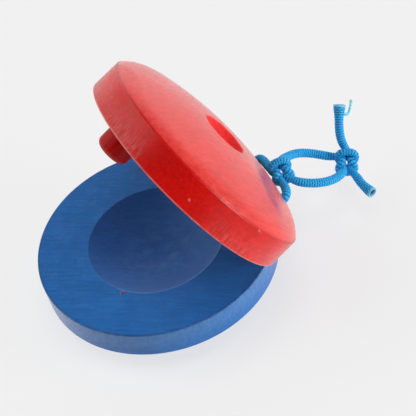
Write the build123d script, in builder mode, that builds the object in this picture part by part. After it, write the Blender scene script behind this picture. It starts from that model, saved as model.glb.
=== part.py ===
from build123d import *
import os
from math import acos, atan2, cos, hypot, pi, radians, sin, sqrt, tan

# Wooden school castanets: two turned shells that meet at bevels and open like a mouth,
# held together by an elastic cord that also makes the finger loop.
# Millimetres. The lower, blue shell stands on z = 0 with its own axis on the origin's z.
# +X points from the open mouth to the cord, and the hinge line runs along Y.

# Shells: both are the same turning, measured from the inner face out to the dome.
SHELL_RADIUS = 28.5
CREASE_RADIUS = 28.3
WALL_HEIGHT = 7.25
SHELL_HEIGHT = 13.1
DOME_RADIUS = 90.0
SHOULDER_RADIUS = 9.0
BOWL_RADIUS = 16.2
BOWL_DEPTH = 4.4
RECESS_RADIUS = 5.7
RECESS_DEPTH = 2.6
SOFTENED_EDGE = 0.3
SOFTENED_CREASE = 0.6

# Hinge: the bevels lie on each other at rest and set how far the mouth opens.
OPENING_ANGLE = 61.5
HINGE_X = 20.5
BEVEL_CLEARANCE = 0.1

# Cord holes: drilled a little off the centre line, so face to face the shells sit
# twice that much out of line with each other.
HOLE_X = 22.5
HOLE_HALF_GAP = 7.5
HOLE_SHIFT = 1.1
HOLE_DIAMETER = 3.2

# Striker peg, glued into a blind socket in the red shell.
PEG_X = -20.6
PEG_RADIUS = 4.0
PEG_REACH = 5.7
PEG_SOCKET_DEPTH = 5.0
PEG_TIP_ROUND = 1.5

# Elastic cord and its two knots.
CORD_DIAMETER = 2.2
CORE_DIAMETER = 0.8
BRIDGE_HEIGHT = 1.4
LEG_RISE = 11.8
KNOT_RADIUS = 2.8
KNOT_HALF_LENGTH = 3.6
SHELL_KNOT_X = 23.4
SHELL_KNOT_HEIGHT = 13.0
TAIL_KNOT = (49.8, -1.1, 9.8)

LEFT_STRAND = [
    (33.9, 0.4, 16.3),
    (36.4, 3.6, 15.5),
    (39.8, 5.0, 13.9),
    (43.5, 4.3, 12.2),
    (46.8, 2.1, 11.0),
    (49.2, 0.2, 10.1),
]
RIGHT_STRAND = [
    (33.9, -2.6, 16.2),
    (36.2, -5.5, 15.0),
    (40.2, -6.7, 13.5),
    (44.2, -6.2, 11.9),
    (47.6, -4.2, 10.7),
    (49.4, -2.2, 9.9),
]
LONG_TAIL = [
    (50.0, 0.2, 10.8),
    (50.7, 2.9, 13.8),
    (51.8, 4.9, 17.7),
    (53.5, 6.9, 20.7),
]
SHORT_TAIL = [
    (50.3, -2.6, 9.4),
    (50.0, -5.6, 8.9),
    (50.1, -8.6, 8.2),
    (51.0, -11.5, 7.9),
]
RUBBER_CORE = [
    (52.9, 6.1, 19.6),
    (53.8, 5.4, 18.6),
    (54.6, 5.2, 18.4),
    (55.5, 5.6, 19.0),
    (56.7, 6.8, 20.8),
]

os.makedirs("parts", exist_ok=True)

bevel_angle = radians(OPENING_ANGLE) / 2
hinge_side_y = -HOLE_SHIFT
dome_centre = SHELL_HEIGHT - DOME_RADIUS


def dome_height(radius):
    """How far the dome stands above the inner face, this far from the shell's axis."""
    return dome_centre + sqrt(DOME_RADIUS**2 - radius**2)


def shoulder_start():
    """Where the dome's arc passes, without a corner, into the shoulder's smaller arc."""
    crease_distance = hypot(CREASE_RADIUS, WALL_HEIGHT - dome_centre)
    crease_direction = atan2(CREASE_RADIUS, WALL_HEIGHT - dome_centre)
    centre_distance = DOME_RADIUS - SHOULDER_RADIUS
    between = acos(
        (centre_distance**2 + crease_distance**2 - SHOULDER_RADIUS**2)
        / (2 * centre_distance * crease_distance)
    )
    direction = crease_direction - between
    return DOME_RADIUS * sin(direction), dome_centre + DOME_RADIUS * cos(direction)


# The blue shell stands on the edge of the recess in its dome.
inner_face_z = dome_height(RECESS_RADIUS + SOFTENED_EDGE)
opening = radians(OPENING_ANGLE)

# Each seat is the plane of a shell's inner face, its z pointing out through the dome.
blue_seat = Plane((0, 0, inner_face_z), x_dir=(1, 0, 0), z_dir=(0, 0, -1))
red_seat = Plane(
    (HINGE_X * (1 - cos(opening)), 2 * hinge_side_y, inner_face_z + HINGE_X * sin(opening)),
    x_dir=(cos(opening), 0, -sin(opening)),
    z_dir=(sin(opening), 0, cos(opening)),
)


def bevel_of(seat):
    """The plane of a shell's bevel, its z pointing into the wood."""
    hinge_point = seat.from_local_coords((HINGE_X, 0, 0))
    into_wood = seat.z_dir * cos(bevel_angle) - seat.x_dir * sin(bevel_angle)
    return Plane(hinge_point, x_dir=seat.y_dir, z_dir=into_wood)


def half_section(seat):
    """The plane that holds a shell's profile: its x is the radius, its y the shell's axis."""
    return Plane(seat.origin, x_dir=seat.x_dir, z_dir=-seat.y_dir)


def castanet_shell(seat):
    """One turned shell with its bowl, recess, bevel and two cord holes."""
    shoulder = shoulder_start()
    recess_floor = inner_face_z - RECESS_DEPTH
    with BuildPart() as shell:
        with BuildSketch(half_section(seat)):
            with BuildLine():
                bowl = RadiusArc((0, BOWL_DEPTH), (BOWL_RADIUS, 0), bowl_sphere_radius())
                Polyline(
                    bowl @ 1,
                    (SHELL_RADIUS, 0),
                    (CREASE_RADIUS, WALL_HEIGHT),
                )
                dome = RadiusArc(
                    (RECESS_RADIUS, dome_height(RECESS_RADIUS)), shoulder, DOME_RADIUS
                )
                TangentArc(dome @ 1, (CREASE_RADIUS, WALL_HEIGHT), tangent=dome % 1)
                Polyline(dome @ 0, (RECESS_RADIUS, recess_floor), (0, recess_floor), bowl @ 0)
            face = make_face()
            inner_edge = face.vertices().sort_by_distance((SHELL_RADIUS, 0))[0]
            bowl_rim = face.vertices().sort_by_distance((BOWL_RADIUS, 0))[0]
            recess_rim = face.vertices().sort_by_distance(dome @ 0)[0]
            crease = face.vertices().sort_by_distance((CREASE_RADIUS, WALL_HEIGHT))[0]
            fillet([inner_edge, bowl_rim, recess_rim], SOFTENED_EDGE)
            fillet(crease, SOFTENED_CREASE)
        revolve(axis=Axis(seat.origin, seat.z_dir))
        split(bisect_by=bevel_of(seat).offset(BEVEL_CLEARANCE), keep=Keep.TOP)
        with BuildSketch(seat):
            for side in (-1, 1):
                with Locations((HOLE_X, HOLE_SHIFT + side * HOLE_HALF_GAP)):
                    Circle(HOLE_DIAMETER / 2)
        extrude(amount=SHELL_HEIGHT, mode=Mode.SUBTRACT)
    return shell


def bowl_sphere_radius():
    """The radius of the sphere that a bowl of this rim and depth is part of."""
    return (BOWL_RADIUS**2 + BOWL_DEPTH**2) / (2 * BOWL_DEPTH)


def open_arc_radii(points):
    """For each corner, the largest arc that its two runs leave room for."""
    points = [Vector(point) for point in points]
    radii = []
    for before, corner, after in zip(points, points[1:], points[2:]):
        first, second = corner - before, after - corner
        shorter = min(first.length, second.length)
        half_turn = radians(first.get_angle(second)) / 2
        radii.append(0.45 * shorter / tan(half_turn))
    return radii


def cord_tube(name, points, radii, diameter=CORD_DIAMETER, planes=(), knots=()):
    """A round cord on straight runs joined by arcs, cut back to the planes and knots it meets."""
    with BuildPart() as tube:
        with BuildLine():
            route = FilletPolyline(*points, radius=radii)
        with BuildSketch(Plane(route @ 0, z_dir=route % 0)):
            Circle(diameter / 2)
        sweep()
        true_volume = pi * diameter**2 / 4 * route.length
        print(
            name,
            "radii",
            [round(radius, 1) for radius in radii],
            "length",
            round(route.length, 1),
            "volume over section times length",
            round(tube.part.volume / true_volume, 3),
        )
        for plane in planes:
            split(bisect_by=plane, keep=Keep.TOP)
        for knot in knots:
            add(knot.part, mode=Mode.SUBTRACT)
    return tube


def knot_bead(centre):
    """The closed outer shape of one knot, longest along Y."""
    with BuildPart() as knot:
        with BuildSketch(Plane(centre, x_dir=(1, 0, 0), z_dir=(0, 0, 1))):
            Ellipse(KNOT_RADIUS, KNOT_HALF_LENGTH)
            split(bisect_by=Plane.YZ, keep=Keep.TOP)
        revolve(axis=Axis(centre, (0, 1, 0)))
    return knot


# Shells.
blue_shell = castanet_shell(blue_seat)

red_blank = castanet_shell(red_seat)
with BuildPart() as red_shell:
    add(red_blank.part)
    with BuildSketch(red_seat):
        with Locations((PEG_X, 0)):
            Circle(PEG_RADIUS)
    extrude(amount=PEG_SOCKET_DEPTH, mode=Mode.SUBTRACT)

with BuildPart() as striker_peg:
    with BuildSketch(red_seat.offset(PEG_SOCKET_DEPTH)):
        with Locations((PEG_X, 0)):
            Circle(PEG_RADIUS)
    extrude(amount=-(PEG_SOCKET_DEPTH + PEG_REACH))
    tip = striker_peg.edges().filter_by(GeomType.CIRCLE).sort_by(Axis(red_seat.origin, red_seat.z_dir))[0]
    fillet(tip, PEG_TIP_ROUND)

# Knots.
shell_knot_centre = red_seat.from_local_coords((SHELL_KNOT_X, HOLE_SHIFT, SHELL_KNOT_HEIGHT))
shell_knot = knot_bead(shell_knot_centre)
tail_knot = knot_bead(Vector(TAIL_KNOT))

# Cord under the blue shell, down one hole, across the dome and up the other.
left_y = hinge_side_y + HOLE_HALF_GAP
right_y = hinge_side_y - HOLE_HALF_GAP
cord_bridge = cord_tube(
    "cord_bridge",
    [
        (HOLE_X, left_y, inner_face_z),
        (HOLE_X, left_y, BRIDGE_HEIGHT),
        (HOLE_X, right_y, BRIDGE_HEIGHT),
        (HOLE_X, right_y, inner_face_z),
    ],
    [CORD_DIAMETER, CORD_DIAMETER],
    planes=[bevel_of(blue_seat).offset(BEVEL_CLEARANCE)],
)


def cord_leg(name, side):
    """The cord up through one hole of the red shell, then over to the knot on its dome."""
    hole_y = HOLE_SHIFT + side * HOLE_HALF_GAP
    route = [
        (HOLE_X, hole_y, 0),
        (HOLE_X, hole_y, LEG_RISE),
        (SHELL_KNOT_X, HOLE_SHIFT + side, SHELL_KNOT_HEIGHT),
    ]
    return cord_tube(
        name,
        [red_seat.from_local_coords(point) for point in route],
        [CORD_DIAMETER],
        planes=[bevel_of(red_seat).offset(BEVEL_CLEARANCE)],
        knots=[shell_knot],
    )


cord_leg_left = cord_leg("cord_leg_left", 1)
cord_leg_right = cord_leg("cord_leg_right", -1)

# Finger loop and the cord's two cut ends.
both_knots = [shell_knot, tail_knot]
loop_strand_left = cord_tube(
    "loop_strand_left", LEFT_STRAND, open_arc_radii(LEFT_STRAND), knots=both_knots
)
loop_strand_right = cord_tube(
    "loop_strand_right", RIGHT_STRAND, open_arc_radii(RIGHT_STRAND), knots=both_knots
)
long_tail = cord_tube("long_tail", LONG_TAIL, open_arc_radii(LONG_TAIL), knots=[tail_knot])
short_tail = cord_tube("short_tail", SHORT_TAIL, open_arc_radii(SHORT_TAIL), knots=[tail_knot])
rubber_core = cord_tube(
    "rubber_core", RUBBER_CORE, open_arc_radii(RUBBER_CORE), CORE_DIAMETER, knots=[long_tail]
)

pieces = {
    "blue_shell": blue_shell,
    "red_shell": red_shell,
    "striker_peg": striker_peg,
    "cord_bridge": cord_bridge,
    "cord_leg_left": cord_leg_left,
    "cord_leg_right": cord_leg_right,
    "shell_knot": shell_knot,
    "loop_strand_left": loop_strand_left,
    "loop_strand_right": loop_strand_right,
    "tail_knot": tail_knot,
    "long_tail": long_tail,
    "short_tail": short_tail,
    "rubber_core": rubber_core,
}
for name, piece in pieces.items():
    piece.part.label = name
    export_step(piece.part, f"parts/{name}.step")
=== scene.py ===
"""Looks for a pair of wooden school castanets: lacquered shells on a braided elastic cord."""

import math
from collections import namedtuple

import bmesh
import bpy
from mathutils import Matrix, Vector
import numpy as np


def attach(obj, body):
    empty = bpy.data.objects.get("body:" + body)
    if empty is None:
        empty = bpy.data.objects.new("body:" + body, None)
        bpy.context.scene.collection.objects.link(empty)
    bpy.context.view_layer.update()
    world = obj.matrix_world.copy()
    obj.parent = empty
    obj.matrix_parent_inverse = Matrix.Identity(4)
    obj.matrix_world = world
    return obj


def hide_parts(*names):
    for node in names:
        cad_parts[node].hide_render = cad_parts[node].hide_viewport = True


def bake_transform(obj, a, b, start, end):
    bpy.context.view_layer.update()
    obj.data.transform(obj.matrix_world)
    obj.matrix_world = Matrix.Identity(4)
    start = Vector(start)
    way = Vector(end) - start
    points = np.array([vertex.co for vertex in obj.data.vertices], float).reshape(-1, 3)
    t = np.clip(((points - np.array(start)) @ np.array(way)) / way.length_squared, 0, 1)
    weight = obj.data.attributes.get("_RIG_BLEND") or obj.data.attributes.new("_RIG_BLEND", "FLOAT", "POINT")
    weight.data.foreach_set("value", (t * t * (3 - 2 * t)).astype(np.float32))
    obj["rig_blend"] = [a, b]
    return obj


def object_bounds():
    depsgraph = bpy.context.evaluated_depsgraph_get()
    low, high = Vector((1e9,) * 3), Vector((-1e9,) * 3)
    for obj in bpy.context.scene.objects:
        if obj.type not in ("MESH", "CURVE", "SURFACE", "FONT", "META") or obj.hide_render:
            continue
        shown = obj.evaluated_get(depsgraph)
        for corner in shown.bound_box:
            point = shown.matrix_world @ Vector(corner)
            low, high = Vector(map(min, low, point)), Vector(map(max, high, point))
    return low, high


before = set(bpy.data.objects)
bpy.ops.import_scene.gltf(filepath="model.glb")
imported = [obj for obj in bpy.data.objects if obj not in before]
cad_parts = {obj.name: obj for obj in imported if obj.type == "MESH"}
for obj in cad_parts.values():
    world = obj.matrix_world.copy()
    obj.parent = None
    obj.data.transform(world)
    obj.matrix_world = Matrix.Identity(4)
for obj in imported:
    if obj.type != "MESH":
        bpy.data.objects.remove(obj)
cad_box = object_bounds()

MM = 0.001
BLUE, RED = "blue_half", "red_half"

# The shells and the cord's route, in millimetres, as the CAD has them. A shell's own axes start
# at the middle of its mouth, with Z up into its dome.
SHELL_RADIUS = 28.5
WALL_HEIGHT = 7.25
BOWL_RADIUS = 16.2
RECESS_RADIUS = 5.7
OPENING_ANGLE = math.radians(61.5)
BLUE_MIDDLE = Vector((0, 0, 12.9))
BLUE_TURN = (math.pi, 0, 0)
RED_MIDDLE = Vector((10.72, -2.2, 30.92))
RED_TURN = (0, OPENING_ANGLE, 0)
HOLE_X = 22.5
CORD_MIDDLE_Y = -1.1
HOLE_HALF_GAP = 7.5
BRIDGE_HEIGHT = 1.4
BEVELS_MEET_Z = 11.71
CORD_DIAMETER = 2.2
CORE_DIAMETER = 0.8
SHELL_KNOT = Vector((33.31, -1.1, 16.57))
TAIL_KNOT = Vector((49.8, -1.1, 9.8))

# The free cord between and beyond the knots. The knots' own points lead into it.
LEFT_STRAND = [
    (36.4, 3.6, 15.5),
    (39.8, 5.0, 13.9),
    (43.5, 4.3, 12.2),
    (46.8, 2.1, 11.0),
]
RIGHT_STRAND = [
    (36.2, -5.5, 15.0),
    (40.2, -6.7, 13.5),
    (44.2, -6.2, 11.9),
    (47.6, -4.2, 10.7),
]
LONG_TAIL = [
    (50.7, 2.9, 13.8),
    (51.8, 4.9, 17.7),
    (53.5, 6.9, 20.7),
]
SHORT_TAIL = [
    (50.0, -5.6, 8.9),
    (50.1, -8.6, 8.2),
    (51.0, -11.5, 7.9),
]
RUBBER_CORE = [
    (52.9, 6.1, 19.6),
    (53.8, 5.4, 18.6),
    (54.6, 5.2, 18.4),
    (55.5, 5.6, 19.0),
    (56.7, 6.8, 20.8),
]


# Camera.
def make_camera():
    """A long lens from the front left, high up and a little rolled."""
    data = bpy.data.cameras.new("camera")
    data.sensor_width = 36.0
    data.lens = 132.5
    data.clip_start = 0.01
    camera = bpy.data.objects.new("camera", data)
    bpy.context.scene.collection.objects.link(camera)
    right = Vector((0.8974, -0.4003, -0.1855))
    up = Vector((0.4158, 0.6268, 0.659))
    back = Vector((-0.1475, -0.6685, 0.729))
    turned = Matrix((right, up, back)).transposed().to_4x4()
    turned.translation = Vector((-38.92, -240.61, 277.1)) * MM
    camera.matrix_world = turned
    bpy.context.scene.camera = camera


make_camera()


# Cord.
def smooth_line(points):
    """The line of a NURBS spline that has these points, in metres, as its control points."""
    data = bpy.data.curves.new("route", "CURVE")
    data.dimensions = "3D"
    data.resolution_u = 24
    spline = data.splines.new("NURBS")
    spline.points.add(len(points) - 1)
    for point, place in zip(spline.points, points):
        point.co = (*place, 1)
    spline.order_u = 3
    spline.use_endpoint_u = True
    route = bpy.data.objects.new("route", data)
    mesh = bpy.data.meshes.new_from_object(route)
    line = [vertex.co.copy() for vertex in mesh.vertices]
    bpy.data.objects.remove(route)
    bpy.data.curves.remove(data)
    bpy.data.meshes.remove(mesh)
    return line


def line_length(line):
    return sum((b - a).length for a, b in zip(line, line[1:]))


def evenly(line, step):
    """The same line with its points as nearly as possible one step apart."""
    count = max(2, round(line_length(line) / step))
    wanted = line_length(line) / count
    spaced, passed, index = [line[0]], 0.0, 0
    for number in range(1, count):
        target = number * wanted
        while passed + (line[index + 1] - line[index]).length < target:
            passed += (line[index + 1] - line[index]).length
            index += 1
        run = line[index + 1] - line[index]
        spaced.append(line[index] + run * ((target - passed) / run.length))
    return spaced + [line[-1]]


def frames_along(line):
    """For each point of a line, its direction and two sideways directions that don't twist."""
    ways = []
    for number in range(len(line)):
        before, after = line[max(0, number - 1)], line[min(len(line) - 1, number + 1)]
        ways.append((after - before).normalized())
    side = ways[0].orthogonal().normalized()
    frames = []
    for way in ways:
        side = (side - way * side.dot(way)).normalized()
        frames.append((way, side, way.cross(side)))
    return frames


# The sleeve is a plain braid: how many yarns go round each way, how far apart they cross and how
# deep the gaps are, as a share of the radius. Ribs run across it where the core has bunched it up.
BRAID_YARNS = 8
BRAID_PITCH = 0.9
BRAID_DEPTH = 0.12
YARN_DIP = 0.55
RIB_PITCH = 0.58
RIB_SHARE = 0.55

CORD_STEP = 0.1 * MM
CORE_STEP = 0.15 * MM
FRAYED_LENGTH = 0.7 * MM

# The cut sleeve's hollow end, from its rim inwards: millimetres in from the end, share of the radius.
CUT_END_RINGS = ((-0.12, 0.93), (-0.12, 0.78), (0.05, 0.66), (0.5, 0.58), (1.1, 0.54))


def braid(turn, along):
    """How proud the sleeve stands, 0 to 1, at a share of a turn and a distance in millimetres."""
    one = BRAID_YARNS * turn + along / BRAID_PITCH
    other = BRAID_YARNS * turn - along / BRAID_PITCH
    across, lengthwise = one % 1, other % 1
    if (math.floor(one) + math.floor(other)) % 2:
        across, lengthwise = lengthwise, across
    rounding = math.sqrt(max(0.0, 1 - (2 * across - 1) ** 2))
    arching = 1 - YARN_DIP + YARN_DIP * math.sin(math.pi * lengthwise)
    rib = abs(math.sin(math.pi * along / RIB_PITCH))
    return rounding * arching * (1 - RIB_SHARE) + rib * RIB_SHARE


def eased(share):
    share = min(1.0, max(0.0, share))
    return share * share * (3 - 2 * share)


class Tube:
    """A closed mesh tube, made ring by ring, that keeps how proud and how frayed each point is."""

    def __init__(self, around):
        self.around = around
        self.mesh = bmesh.new()
        layers = self.mesh.verts.layers.float
        for layer in ("proud", "frayed"):
            layers.new(layer)
        self.proud, self.frayed = layers["proud"], layers["frayed"]
        self.rings = []

    def add_ring(self, point, frame_here, radius, along=None, fray=0.0):
        """A ring round a point, braided at so many millimetres along the cord, or plain."""
        ring = []
        for number in range(self.around):
            turn = number / self.around
            angle = 2 * math.pi * turn
            outward = frame_here[1] * math.cos(angle) + frame_here[2] * math.sin(angle)
            relief = 1.0 if along is None else braid(turn, along)
            vertex = self.mesh.verts.new(point + outward * radius * (1 - BRAID_DEPTH * (1 - relief)))
            vertex[self.proud] = 0.0 if along is None else relief
            vertex[self.frayed] = fray
            ring.append(vertex)
        self.rings.append(ring)

    def close(self, name):
        """Joins the rings, caps both ends and puts the tube in the scene."""
        for lower, upper in zip(self.rings, self.rings[1:]):
            for number in range(self.around):
                following = (number + 1) % self.around
                self.mesh.faces.new((lower[number], lower[following], upper[following], upper[number]))
        self.mesh.faces.new(reversed(self.rings[0]))
        self.mesh.faces.new(self.rings[-1])
        data = bpy.data.meshes.new(name)
        self.mesh.to_mesh(data)
        self.mesh.free()
        data.shade_smooth()
        tube = bpy.data.objects.new(name, data)
        bpy.context.scene.collection.objects.link(tube)
        return tube


def braided_tube(name, line, radius_at, cut_end=False):
    """The sleeve along a line, with the braid's relief on it and, if asked, a hollow cut end."""
    line = evenly(line, CORD_STEP)
    frames = frames_along(line)
    tube = Tube(around=40)
    for number, (point, frame_here) in enumerate(zip(line, frames)):
        passed = number * CORD_STEP
        to_end = (len(line) - 1 - number) * CORD_STEP
        fray = eased(1 - to_end / FRAYED_LENGTH) if cut_end else 0.0
        tube.add_ring(point, frame_here, radius_at(point, passed), passed / MM, fray)
    if cut_end:
        end_radius = radius_at(line[-1], len(line) * CORD_STEP)
        for inward, share in CUT_END_RINGS:
            point = line[-1] - frames[-1][0] * inward * MM
            tube.add_ring(point, frames[-1], end_radius * share, fray=1.0 - inward)
    return tube.close(name)


def plain_tube(name, line, radius):
    """A smooth thread along a line, cut flat at both ends."""
    line = evenly(line, CORE_STEP)
    tube = Tube(around=16)
    for point, frame_here in zip(line, frames_along(line)):
        tube.add_ring(point, frame_here, radius)
    return tube.close(name)


# The elastic's diameter where a knot squeezes it.
KNOT_DIAMETER = 1.9


def reef_knot(centre, up, front):
    """The points of the two strands of a reef knot, each from its left end to its right end.

    Each point is so many squeezed diameters up, to the right and to the front of the centre.
    The first strand comes in behind at the top, wraps the other one's neck and leaves behind at
    the top. The second comes up through it from below and makes the arch over its neck.
    """
    right = up.cross(front)
    wrapping = [
        (0.8, -1.2, -0.7),
        (0.55, -0.45, -0.15),
        (0.05, -0.62, 0.5),
        (-0.65, -1.1, 0.25),
        (-1.2, -0.75, -0.55),
        (-1.2, 0.75, -0.55),
        (-0.65, 1.1, 0.25),
        (0.05, 0.62, 0.5),
        (0.55, 0.4, -0.1),
        (1.35, 0.2, -0.55),
    ]
    arching = [
        (-1.0, -0.5, 0.4),
        (-0.35, -0.4, 0.15),
        (0.1, -0.85, -0.3),
        (0.75, -1.2, 0.05),
        (1.35, -0.75, 0.55),
        (1.35, 0.75, 0.55),
        (0.75, 1.2, 0.05),
        (0.1, 0.85, -0.3),
        (-0.35, 0.4, 0.15),
        (-1.0, 0.5, 0.4),
    ]
    strands = []
    for strand in (wrapping, arching):
        offsets = [up * u + right * v + front * w for u, v, w in strand]
        strands.append([centre + offset * KNOT_DIAMETER for offset in offsets])
    return strands


def metres(points):
    return [Vector(point) * MM for point in points]


knot_front = Vector((-0.15, -0.67, 0.73)).normalized()
tail_knot_up = Vector((0.42, 0.63, 0.66)).normalized()
shell_knot_up = Vector((0.05, 0.73, 0.68)).normalized()
red_up = Vector((math.sin(OPENING_ANGLE), 0, math.cos(OPENING_ANGLE)))
red_along = Vector((math.cos(OPENING_ANGLE), 0, -math.sin(OPENING_ANGLE)))
shell_left, shell_right = reef_knot(SHELL_KNOT, shell_knot_up, knot_front)
tail_left, tail_right = reef_knot(TAIL_KNOT, tail_knot_up, knot_front)


def red_point(x, y, z):
    """A point given in the red shell's own axes, in the row's frame."""
    return RED_MIDDLE + red_along * x + Vector((0, y, 0)) + red_up * z


def leg(side, bends):
    """From the middle of the bridge under the blue shell, up one hole and out towards the knot."""
    y = CORD_MIDDLE_Y + side * HOLE_HALF_GAP
    hole_y = y - RED_MIDDLE.y
    return [
        Vector((HOLE_X, CORD_MIDDLE_Y + side * 2.0, BRIDGE_HEIGHT)),
        Vector((HOLE_X, y - side * 1.2, BRIDGE_HEIGHT + 0.05)),
        Vector((HOLE_X, y, 2.6)),
        Vector((HOLE_X, y, 7.0)),
        Vector((HOLE_X, y, 10.6)),
        Vector((HOLE_X + 0.15, y, BEVELS_MEET_Z)),
        red_point(HOLE_X, hole_y, 2.3),
        red_point(HOLE_X, hole_y, 6.0),
        red_point(HOLE_X, hole_y, 9.8),
    ] + [red_point(*bend) for bend in bends]


left_leg = leg(1, [(22.5, 8.2, 11.0), (22.6, 6.3, 11.4)])
right_leg = leg(-1, [(22.5, -6.1, 11.0), (22.9, -4.2, 11.8)])


def half_way(points, number):
    return (points[number] + points[number + 1]) / 2


# The cord is three pieces that meet end to end inside the shell knot, where other strands hide them.
LEFT_MEETING = 4
RIGHT_MEETING = 7
left_start = half_way(shell_left, LEFT_MEETING)
right_start = half_way(shell_right, RIGHT_MEETING)
hinge_route = [left_start] + shell_left[LEFT_MEETING::-1] + left_leg[::-1]
hinge_route += right_leg + shell_right[: RIGHT_MEETING + 1] + [right_start]
left_route = [left_start] + shell_left[LEFT_MEETING + 1 :] + LEFT_STRAND + tail_left + LONG_TAIL
right_route = [right_start] + shell_right[RIGHT_MEETING + 1 :] + RIGHT_STRAND + tail_right + SHORT_TAIL

# A knot squeezes the cord up to its reach from its middle, and the cord eases from there. Near a
# cut end the sleeve flares.
KNOT_REACH = 3.0 * MM
KNOT_EASE = 2.5 * MM
FLARE_LENGTH = 3.8 * MM
LONG_TAIL_FLARE = 1.38
SHORT_TAIL_FLARE = 1.25


def cord_radius(point):
    """The elastic's radius, which is less where a knot squeezes it."""
    nearest = min((point - knot * MM).length for knot in (SHELL_KNOT, TAIL_KNOT))
    free = eased((nearest - KNOT_REACH) / KNOT_EASE)
    return (KNOT_DIAMETER + (CORD_DIAMETER - KNOT_DIAMETER) * free) / 2 * MM


def flared_radius(length, flare):
    """A radius that widens over the last stretch before a cut end."""

    def radius(point, distance):
        open_share = eased((distance - length + FLARE_LENGTH) / FLARE_LENGTH)
        return cord_radius(point) * (1 + (flare - 1) * open_share)

    return radius


hinge_line = smooth_line(metres(hinge_route))
left_line = smooth_line(metres(left_route))
right_line = smooth_line(metres(right_route))
core_line = smooth_line(metres(RUBBER_CORE))
left_radius = flared_radius(line_length(left_line), LONG_TAIL_FLARE)
right_radius = flared_radius(line_length(right_line), SHORT_TAIL_FLARE)
hinge_cord = braided_tube("cord_through_shells", hinge_line, lambda point, passed: cord_radius(point))
left_cord = braided_tube("cord_left_end", left_line, left_radius, cut_end=True)
right_cord = braided_tube("cord_right_end", right_line, right_radius, cut_end=True)
core = plain_tube("rubber_thread", core_line, CORE_DIAMETER / 2 * MM)


# Materials.
def plug(tree, socket, value):
    """Links a socket to another node's output, or sets it to a plain value."""
    if isinstance(value, bpy.types.NodeSocket):
        tree.links.new(value, socket)
    else:
        socket.default_value = value


class Surface:
    """A material's node tree, with short calls for the nodes used here. Lengths are in millimetres."""

    def __init__(self, name, **constants):
        self.material = bpy.data.materials.new(name)
        self.material.use_nodes = True
        self.tree = self.material.node_tree
        self.shader = next(node for node in self.tree.nodes if node.type == "BSDF_PRINCIPLED")
        for socket, value in constants.items():
            self.shader.inputs[socket.replace("_", " ")].default_value = value

    def node(self, kind, values, **settings):
        made = self.tree.nodes.new(kind)
        for setting, value in settings.items():
            setattr(made, setting, value)
        for socket, value in values.items():
            plug(self.tree, made.inputs[socket], value)
        return made

    def place(self, origin=(0, 0, 0), turn=(0, 0, 0)):
        """A point's place in a shell's own axes, in millimetres."""
        here = self.node("ShaderNodeTexCoord", {}).outputs["Object"]
        values = {"Vector": here, "Location": Vector(origin) * MM, "Rotation": turn, "Scale": (MM, MM, MM)}
        return self.node("ShaderNodeMapping", values, vector_type="TEXTURE").outputs[0]

    def split(self, vector):
        return self.node("ShaderNodeSeparateXYZ", {0: vector}).outputs

    def math(self, operation, first, second=0.0, clamp=False):
        values = {0: first, 1: second}
        return self.node("ShaderNodeMath", values, operation=operation, use_clamp=clamp).outputs[0]

    def times(self, first, *others):
        for other in others:
            first = self.math("MULTIPLY", first, other)
        return first

    def plus(self, first, *others):
        for other in others:
            first = self.math("ADD", first, other)
        return first

    def attribute(self, name):
        return self.node("ShaderNodeAttribute", {}, attribute_name=name).outputs["Fac"]

    def stretch(self, vector, scale):
        values = {0: vector, 1: scale}
        return self.node("ShaderNodeVectorMath", values, operation="MULTIPLY").outputs[0]

    def noise(self, vector, scale, detail=3.0, roughness=0.55):
        values = {"Vector": vector, "Scale": scale, "Detail": detail, "Roughness": roughness}
        return self.node("ShaderNodeTexNoise", values).outputs[0]

    def ramp(self, value, start, end, low=0.0, high=1.0):
        """A smooth step from low to high as the value goes from start to end."""
        values = {"Value": value, "From Min": start, "From Max": end, "To Min": low, "To Max": high}
        return self.node("ShaderNodeMapRange", values, interpolation_type="SMOOTHSTEP").outputs[0]

    def band(self, value, middle, half, soft):
        """1 within half of the middle, fading out over soft."""
        away = self.math("ABSOLUTE", self.math("SUBTRACT", value, middle))
        return self.ramp(away, half, half + soft, 1.0, 0.0)

    def spot(self, vector, centre, radius):
        """1 at a point, fading out at a radius."""
        away = self.node("ShaderNodeVectorMath", {0: vector, 1: centre}, operation="DISTANCE")
        return self.ramp(away.outputs["Value"], radius * 0.5, radius, 1.0, 0.0)

    def mix(self, share, first, second, blend="MIX"):
        values = {0: share, 6: first, 7: second}
        return self.node("ShaderNodeMix", values, data_type="RGBA", blend_type=blend).outputs[2]

    def bump(self, height, depth, under=None):
        """Height 0 to 1 becomes relief of that depth in millimetres."""
        values = {"Height": height, "Distance": depth * MM, "Strength": 1.0}
        if under is not None:
            values["Normal"] = under
        return self.node("ShaderNodeBump", values).outputs[0]

    def finish(self, **sockets):
        for socket, value in sockets.items():
            plug(self.tree, self.shader.inputs[socket.replace("_", " ")], value)
        return self.material


# A shell's paints: plain, in the bowl (darker, as painted shade), in the recess, painted shade for the
# crease and the saw lines, along the mouth's edge, for dust and painted sheen, and how much of that
# sheen its dome and its wall get.
ShellPaint = namedtuple("ShellPaint", "plain bowl recess deep edge worn dome_bloom wall_bloom")
# Dark magenta for the cord's painted shadow and reflection on the red dome.
CORD_SHADOW_PAINT = (0.36, 0.001, 0.04, 1)

# How close the lathe rings stand and how far they waver, and how close the saw's lines stand
# round the wall and how fast they change up it.
RING_DENSITY = 9.0
RING_WAVER = 2.5
SAW_LINE_DENSITY = 85.0
SAW_LINE_STRETCH = 0.35


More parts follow.
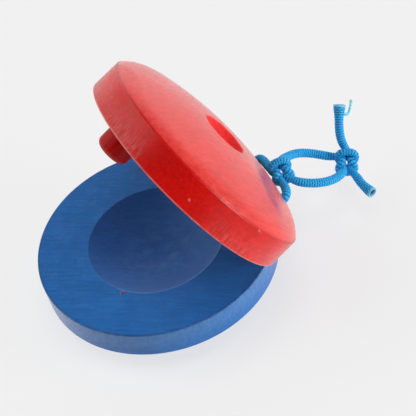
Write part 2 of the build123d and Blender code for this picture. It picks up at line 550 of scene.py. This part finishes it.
class LacqueredWood(Surface):
    """Thin satin lacquer over turned hardwood, in the axes of the shell that it covers."""

    def __init__(self, name, paint, middle, turn, grain_turn):
        super().__init__(name, IOR=1.38, Sheen_Weight=0.34, Sheen_Roughness=0.25)
        self.paint = paint
        self.here = self.place(middle, turn)
        self.x, self.y, self.z = self.split(self.here)
        self.radius = self.math("SQRT", self.plus(self.times(self.x, self.x), self.times(self.y, self.y)))
        self.find_regions()
        self.make_textures(grain_turn)

    def find_regions(self):
        """Where the bowl, the recess and the wall are: 1 there and 0 elsewhere."""
        inner_side = self.ramp(self.z, 6.0, 6.5, 1.0, 0.0)
        outer_side = self.ramp(self.z, 8.0, 8.5)
        below_crease = self.ramp(self.z, WALL_HEIGHT - 0.15, WALL_HEIGHT + 0.15, 1.0, 0.0)
        within_bowl = self.ramp(self.radius, BOWL_RADIUS - 0.15, BOWL_RADIUS + 0.1, 1.0, 0.0)
        within_recess = self.ramp(self.radius, RECESS_RADIUS + 0.02, RECESS_RADIUS + 0.15, 1.0, 0.0)
        at_the_side = self.ramp(self.radius, SHELL_RADIUS - 0.2, SHELL_RADIUS - 0.05)
        self.in_bowl = self.times(within_bowl, inner_side)
        self.in_recess = self.times(within_recess, outer_side)
        self.on_wall = self.times(at_the_side, below_crease)

    def make_textures(self, grain_turn):
        turned = self.node("ShaderNodeMapping", {"Vector": self.here, "Rotation": (0, 0, -grain_turn)})
        along_grain = turned.outputs[0]
        self.grain = self.noise(self.stretch(along_grain, (0.10, 1.6, 1.6)), 1.0, 5.0, 0.65)
        self.pores = self.noise(self.stretch(along_grain, (0.5, 4.5, 4.5)), 1.0, 3.0, 0.7)
        self.cloud = self.noise(self.here, 0.14, 3.0)
        self.fine = self.noise(self.here, 6.0, 2.0)
        wavering = self.plus(self.radius, self.times(self.cloud, RING_WAVER))
        self.lathe_rings = self.math("SINE", self.times(wavering, RING_DENSITY))
        self.make_saw_marks()

    def make_saw_marks(self):
        """Lines up the wall, and the patches of it where they show."""
        around = self.math("ARCTAN2", self.y, self.x)
        unrolled = {0: self.times(around, SAW_LINE_DENSITY), 1: self.times(self.z, SAW_LINE_STRETCH)}
        unrolled_wall = self.node("ShaderNodeCombineXYZ", unrolled).outputs[0]
        self.saw_lines = self.noise(unrolled_wall, 1.0, 3.0, 0.6)
        # Between these angles, in radians, the wall is smooth.
        sawn_left = self.ramp(around, -2.70, -2.67, 1.0, 0.0)
        sawn_right = self.ramp(around, -2.05, -1.85, 0.0, 0.8)
        cloudy = self.ramp(self.cloud, 0.35, 0.6, 0.5, 1.0)
        self.sawn = self.times(self.on_wall, self.plus(sawn_left, sawn_right), cloudy)

    def painted(self):
        """The plain paint, its tone varied by the grain, the clouds and the pores, and darker in the bowl as
        painted shade.
        """
        grain_shade = self.ramp(self.grain, 0.3, 0.7, 0.84, 1.12)
        cloud_shade = self.ramp(self.cloud, 0.3, 0.7, -0.05, 0.05)
        pore_shade = self.ramp(self.pores, 0.30, 0.46, 0.78, 1.0)
        shade = self.times(self.plus(grain_shade, cloud_shade), pore_shade)
        grey = self.node("ShaderNodeCombineColor", {0: shade, 1: shade, 2: shade}).outputs[0]
        colour = self.mix(self.in_bowl, self.paint.plain, self.paint.bowl)
        colour = self.mix(self.in_recess, colour, self.paint.recess)
        return self.mix(1.0, colour, grey, "MULTIPLY")

    def painted_sheen(self, colour):
        """Painted sheen: the paler paint over the dome and the wall, following the grain."""
        on_dome = self.math("SUBTRACT", self.ramp(self.z, 7.3, 8.0), self.in_recess, clamp=True)
        dome_share = self.times(on_dome, self.paint.dome_bloom)
        wall_share = self.times(self.on_wall, self.paint.wall_bloom)
        grainy = self.ramp(self.grain, 0.3, 0.7, 0.7, 1.3)
        sheen_share = self.times(self.plus(dome_share, wall_share), grainy)
        return self.mix(sheen_share, colour, self.paint.worn)

    def lit_side(self):
        """Grows towards the side of the bowl that the light falls on in the blue shell."""
        return self.plus(self.times(self.x, 0.4), self.times(self.y, 0.9))

    def dust_and_painted_light(self, colour):
        """Pale dust that the bowl holds, more of it near the middle; piled towards the lit side, it is
        partly painted light.
        """
        drifts = self.ramp(self.noise(self.here, 0.32, 5.0, 0.65), 0.38, 0.72)
        dust_and_light = self.times(drifts, self.ramp(self.radius, 15.5, 3.0))
        dust_and_light = self.plus(dust_and_light, self.times(self.ramp(self.lathe_rings, -0.5, 1.0), 0.08))
        # More towards the lit side: painted light.
        dust_and_light = self.times(dust_and_light, self.ramp(self.lit_side(), -12.0, 14.0, 0.5, 2.2), self.in_bowl)
        dust_and_light = self.times(dust_and_light, self.ramp(self.fine, 0.3, 0.7, 0.4, 1.2), 0.20)
        return self.mix(dust_and_light, colour, self.paint.worn)

    def edged(self, colour):
        """Painted highlights on the bowl's lit edge and the red mouth's edge, painted shade on the blue
        mouth's edge and the crease.
        """
        # A painted highlight on the bowl's edge, kept to its lit side.
        bowl_edge = self.times(
            self.band(self.radius, BOWL_RADIUS + 0.05, 0.06, 0.12),
            self.ramp(self.z, 0.4, 0.8, 1.0, 0.0),
            self.ramp(self.lit_side(), -8.0, 12.0, 0.1, 1.0),
        )
        patchy = self.ramp(self.noise(self.here, 0.5, 4.0, 0.6), 0.35, 0.65)
        # Along the mouth's edge, in patches: painted highlight on the red shell, painted shade on the blue
        # one.
        mouth_edge = self.times(
            self.ramp(self.radius, SHELL_RADIUS - 0.6, SHELL_RADIUS - 0.3),
            self.ramp(self.z, 0.25, 0.5, 1.0, 0.0),
            self.math("ADD", patchy, 0.5, clamp=True),
        )
        # Painted shade along the crease.
        crease = self.times(
            self.band(self.z, WALL_HEIGHT + 0.2, 0.05, 0.18),
            self.ramp(self.radius, SHELL_RADIUS - 1.1, SHELL_RADIUS - 0.8),
        )
        colour = self.mix(self.times(bowl_edge, 0.5), colour, self.paint.worn)
        colour = self.mix(self.times(mouth_edge, 0.6), colour, self.paint.edge)
        return self.mix(self.times(crease, 0.65), colour, self.paint.deep)

    def saw_marked(self, colour):
        """Saw lines up the wall, in patches, where the blank was cut round: the light ones painted sheen,
        the dark ones painted shade.
        """
        # Light strokes: painted sheen.
        light = self.times(self.ramp(self.saw_lines, 0.40, 0.65), self.sawn, 0.28)
        # Dark strokes: painted shade in the saw's grooves.
        deep = self.times(self.ramp(self.saw_lines, 0.42, 0.34), self.sawn, 0.5)
        colour = self.mix(light, colour, self.paint.worn)
        return self.mix(deep, colour, self.paint.deep)

    def with_cord_shadow(self, colour, cord_shadows):
        """Painted shadow and reflection of the cord, dark magenta, on the dome beside it."""
        cord_shadow = 0.0
        for centre, size, share in cord_shadows:
            cord_shadow = self.math("MAXIMUM", cord_shadow, self.times(self.spot(self.here, centre, size), share))
        uneven = self.ramp(self.noise(self.here, 0.45, 4.0, 0.6), 0.35, 0.6, 0.45, 1.0)
        return self.mix(self.times(cord_shadow, uneven), colour, CORD_SHADOW_PAINT)

    def flecked(self, colour, flecks):
        """Adds the flecks to the colour, and gives their height as well."""
        height = 0.0
        for centre, size, fleck_paint, share in flecks:
            fleck = self.spot(self.here, centre, size)
            colour = self.mix(self.times(fleck, share), colour, fleck_paint)
            height = self.plus(fleck, height)
        return colour, height

    def roughness(self):
        rough = self.plus(self.ramp(self.cloud, 0.3, 0.7, 0.19, 0.27), self.times(self.fine, 0.06))
        return self.plus(rough, self.times(self.in_bowl, 0.30), self.times(self.in_recess, 0.60))

    def relief(self, nibs):
        """The heights of the grain, the pores, the saw and lathe marks, the rough recess and the nibs."""
        recess_grit = self.times(self.noise(self.here, 2.2, 4.0, 0.7), self.in_recess)
        relief = self.bump(self.grain, 0.05)
        relief = self.bump(self.ramp(self.pores, 0.28, 0.45), 0.02, relief)
        relief = self.bump(self.fine, 0.02, relief)
        relief = self.bump(self.times(self.saw_lines, self.sawn), 0.10, relief)
        relief = self.bump(self.times(self.lathe_rings, self.in_bowl), 0.0015, relief)
        relief = self.bump(recess_grit, 0.12, relief)
        return self.bump(nibs, 0.12, relief)


def lacquered_wood(name, paint, middle, turn, grain_turn, flecks, cord_shadows=()):
    """The whole look of one shell."""
    wood = LacqueredWood(name, paint, middle, turn, grain_turn)
    colour = wood.dust_and_painted_light(wood.painted_sheen(wood.painted()))
    colour = wood.saw_marked(wood.edged(colour))
    # The cord's painted shadow and reflection, where there is any.
    if cord_shadows:
        colour = wood.with_cord_shadow(colour, cord_shadows)
    colour, nibs = wood.flecked(colour, flecks)
    return wood.finish(Base_Color=colour, Roughness=wood.roughness(), Normal=wood.relief(nibs))


def peg_wood():
    """The peg's darker paint, with lengthwise fibres and a rubbed tip."""
    surface = Surface("peg_lacquer", IOR=1.25)
    here = surface.place(RED_MIDDLE, RED_TURN)
    z = surface.split(here)[2]
    fibres = surface.noise(surface.stretch(here, (2.4, 2.4, 0.25)), 1.0, 4.0, 0.6)
    cloud = surface.noise(here, 0.5, 4.0, 0.6)
    dark = (0.34, 0.002, 0.001, 1)
    light = (0.56, 0.005, 0.003, 1)
    rubbed = (0.62, 0.12, 0.10, 1)
    colour = surface.mix(surface.ramp(fibres, 0.3, 0.7), dark, light)
    tip = surface.times(surface.ramp(z, -4.2, -5.4), surface.ramp(cloud, 0.35, 0.65), 0.35)
    colour = surface.mix(tip, colour, rubbed)
    rough = surface.ramp(cloud, 0.3, 0.7, 0.42, 0.55)
    relief = surface.bump(fibres, 0.06)
    relief = surface.bump(surface.noise(here, 5.0, 2.0), 0.01, relief)
    return surface.finish(Base_Color=colour, Roughness=rough, Normal=relief)


def braided_elastic():
    """Fine yarns: darker in the gaps as painted shade, paler where they stand proud, a little fuzzy, frayed
    at a cut end.
    """
    surface = Surface(
        "elastic_braid",
        Roughness=0.62,
        Specular_IOR_Level=0.25,
        Sheen_Weight=0.15,
        Sheen_Roughness=0.4,
        Sheen_Tint=(0.45, 0.8, 1.0, 1),
    )
    # Painted shade in the braid's gaps.
    gap_shade = (0.001, 0.05, 0.28, 1)
    yarn = (0.022, 0.54, 1.0, 1)
    fuzzy = (0.05, 0.55, 0.98, 1)
    deeper = (0.006, 0.24, 0.68, 1)
    bare_ends = (0.35, 0.80, 0.95, 1)
    here = surface.place()
    fuzz = surface.noise(here, 7.0, 3.0, 0.7)
    patch = surface.noise(here, 0.35, 3.0)
    frayed = surface.times(surface.attribute("frayed"), surface.ramp(fuzz, 0.35, 0.6, 0.35, 0.8))
    colour = surface.mix(surface.ramp(surface.attribute("proud"), 0.25, 0.9), gap_shade, yarn)
    colour = surface.mix(surface.times(surface.ramp(fuzz, 0.5, 0.75), 0.35), colour, fuzzy)
    colour = surface.mix(surface.ramp(patch, 0.35, 0.65, 0.0, 0.2), colour, deeper)
    colour = surface.mix(frayed, colour, bare_ends)
    return surface.finish(Base_Color=colour, Normal=surface.bump(fuzz, 0.03))


def rubber():
    """Pale, slightly see-through rubber thread."""
    surface = Surface("rubber_thread", Roughness=0.35, Subsurface_Weight=0.5, Subsurface_Scale=0.001)
    here = surface.place()
    deeper = (0.20, 0.70, 0.86, 1)
    paler = (0.50, 0.90, 0.96, 1)
    cloud = surface.noise(here, 2.0, 3.0)
    colour = surface.mix(surface.ramp(cloud, 0.3, 0.7), deeper, paler)
    return surface.finish(Base_Color=colour, Normal=surface.bump(surface.noise(here, 3.0, 3.0), 0.03))


def wall_place(angle, height):
    """A place on a shell's wall, in its own axes."""
    angle = math.radians(angle)
    return (SHELL_RADIUS * math.cos(angle), SHELL_RADIUS * math.sin(angle), height)


BLUE_GRAIN_TURN = math.radians(33)
RED_GRAIN_TURN = math.radians(12)
BLUE_PAINT = ShellPaint(
    plain=(0.012, 0.150, 0.490, 1),
    # Darker in the bowl: painted shade of the hollow.
    bowl=(0.004, 0.105, 0.400, 1),
    recess=(0.010, 0.120, 0.400, 1),
    # Painted shade along the crease and in the saw lines.
    deep=(0.004, 0.050, 0.200, 1),
    # Darker along the mouth's edge: painted shade.
    edge=(0.004, 0.060, 0.230, 1),
    # Pale blue for dust in the bowl and for painted sheen and highlights.
    worn=(0.15, 0.33, 0.58, 1),
    # How much painted sheen the dome and the wall get.
    dome_bloom=0.08,
    wall_bloom=0.22,
)
RED_PAINT = ShellPaint(
    plain=(0.74, 0.004, 0.002, 1),
    # Darker in the bowl: painted shade of the hollow.
    bowl=(0.42, 0.006, 0.005, 1),
    recess=(0.95, 0.065, 0.065, 1),
    # Painted shade along the crease and in the saw lines.
    deep=(0.36, 0.002, 0.001, 1),
    # Paler along the mouth's edge: painted highlight.
    edge=(0.95, 0.30, 0.26, 1),
    # Pink for dust in the bowl and for painted sheen and highlights.
    worn=(0.90, 0.30, 0.26, 1),
    # How much painted sheen the dome and the wall get.
    dome_bloom=0.13,
    wall_bloom=0.0,
)

# Flecks, as place, size, paint and share: other paint on the blue shell, painted highlights on paint
# nibs on the red one. The cord's painted shadow and reflection, as place, size and share.
blue_flecks = [
    ((-13.0, 11.0, 0.0), 0.55, (0.22, 0.02, 0.05, 1), 0.9),
    ((-12.4, 11.2, 0.0), 0.3, (0.25, 0.02, 0.05, 1), 0.8),
]
# Painted highlights on small paint nibs, which the relief also raises.
red_nib_highlights = [
    (wall_place(-126.0, 2.75), 0.4, (0.95, 0.25, 0.22, 1), 0.45),
    (wall_place(-91.0, 7.2), 0.5, (0.95, 0.35, 0.32, 1), 0.5),
    (wall_place(-89.0, 6.9), 0.3, (0.95, 0.30, 0.28, 1), 0.4),
]
# Where the cord's shadow and reflection are painted on the red dome.
red_cord_shadows = [
    ((12.0, -4.0, 12.3), 3.8, 0.7),
    ((11.0, -7.0, 12.2), 4.0, 0.85),
    ((10.0, -10.0, 12.1), 4.0, 0.95),
    ((9.3, -13.0, 11.7), 3.8, 0.95),
    ((9.0, -16.0, 11.3), 3.4, 0.8),
    ((9.6, -18.5, 10.8), 2.8, 0.5),
]

blue_wood = lacquered_wood("blue_lacquer", BLUE_PAINT, BLUE_MIDDLE, BLUE_TURN, BLUE_GRAIN_TURN, blue_flecks)
red_wood = lacquered_wood(
    "red_lacquer", RED_PAINT, RED_MIDDLE, RED_TURN, RED_GRAIN_TURN, red_nib_highlights, red_cord_shadows
)
for node, wood in (("blue_shell", blue_wood), ("red_shell", red_wood), ("striker_peg", peg_wood())):
    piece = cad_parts[node]
    piece.data.materials.clear()
    piece.data.materials.append(wood)
elastic_finish = braided_elastic()
for cord in (left_cord, right_cord, hinge_cord):
    cord.data.materials.append(elastic_finish)
core.data.materials.append(rubber())

# Riding.
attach(left_cord, RED)
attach(right_cord, RED)
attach(core, RED)

# The cord through the shells bends from 2 mm before to 2 mm beyond where the bevels meet.
into_red = Vector((math.sin(OPENING_ANGLE / 2), 0, math.cos(OPENING_ANGLE / 2)))
seam = Vector((HOLE_X, CORD_MIDDLE_Y, BEVELS_MEET_Z))
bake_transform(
    hinge_cord,
    RED,
    BLUE,
    start=tuple((seam + into_red * 2.0) * MM),
    end=tuple((seam - into_red * 2.0) * MM),
)
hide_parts("cord_bridge", "cord_leg_left", "cord_leg_right", "shell_knot")
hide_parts("loop_strand_left", "long_tail", "tail_knot")
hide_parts("loop_strand_right", "short_tail")
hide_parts("rubber_core")


# Floor and light.
def make_floor():
    """A plain pale floor that glows a little, so that it shows only a faint shadow."""
    mesh = bmesh.new()
    bmesh.ops.create_grid(mesh, x_segments=1, y_segments=1, size=3.0)
    data = bpy.data.meshes.new("floor")
    mesh.to_mesh(data)
    mesh.free()
    floor = bpy.data.objects.new("floor", data)
    floor.location.z = cad_box[0].z
    bpy.context.scene.collection.objects.link(floor)
    surface = Surface(
        "floor",
        Base_Color=(0.25, 0.25, 0.25, 1),
        Roughness=0.9,
        Specular_IOR_Level=0.1,
        Emission_Color=(1, 1, 1, 1),
        Emission_Strength=0.68,
    )
    data.materials.append(surface.material)


def softbox(name, place, size, power):
    """A rectangular lamp that faces the origin."""
    data = bpy.data.lights.new(name, "AREA")
    data.shape = "RECTANGLE"
    data.size, data.size_y = size
    data.energy = power
    light = bpy.data.objects.new(name, data)
    bpy.context.scene.collection.objects.link(light)
    light.location = place
    light.rotation_euler = (-Vector(place)).to_track_quat("-Z", "Y").to_euler()


def studio_walls():
    """White walls that are brightest behind and near the floor, and darkest high in front."""
    world = bpy.data.worlds.new("studio")
    world.use_nodes = True
    tree = world.node_tree
    background = next(node for node in tree.nodes if node.type == "BACKGROUND")
    way = tree.nodes.new("ShaderNodeTexCoord")
    towards_dark = tree.nodes.new("ShaderNodeVectorMath")
    towards_dark.operation = "DOT_PRODUCT"
    tree.links.new(way.outputs["Generated"], towards_dark.inputs[0])
    towards_dark.inputs[1].default_value = (-0.25, -0.75, 0.6)
    level = tree.nodes.new("ShaderNodeMapRange")
    level.interpolation_type = "SMOOTHSTEP"
    tree.links.new(towards_dark.outputs["Value"], level.inputs["Value"])
    for socket, value in (("From Min", -0.7), ("From Max", 0.0), ("To Min", 1.7), ("To Max", 0.05)):
        level.inputs[socket].default_value = value
    tree.links.new(level.outputs[0], background.inputs["Strength"])
    background.inputs["Color"].default_value = (1, 1, 1, 1)
    bpy.context.scene.world = world


make_floor()
studio_walls()
softbox("top_left", (-1.4, 0.9, 1.5), (1.9, 1.9), 22)
softbox("above", (0.2, -0.3, 2.2), (1.2, 1.2), 14)
softbox("low_right", (1.2, -0.9, 0.25), (0.7, 0.5), 18)
bpy.context.scene.view_settings.view_transform = "Standard"
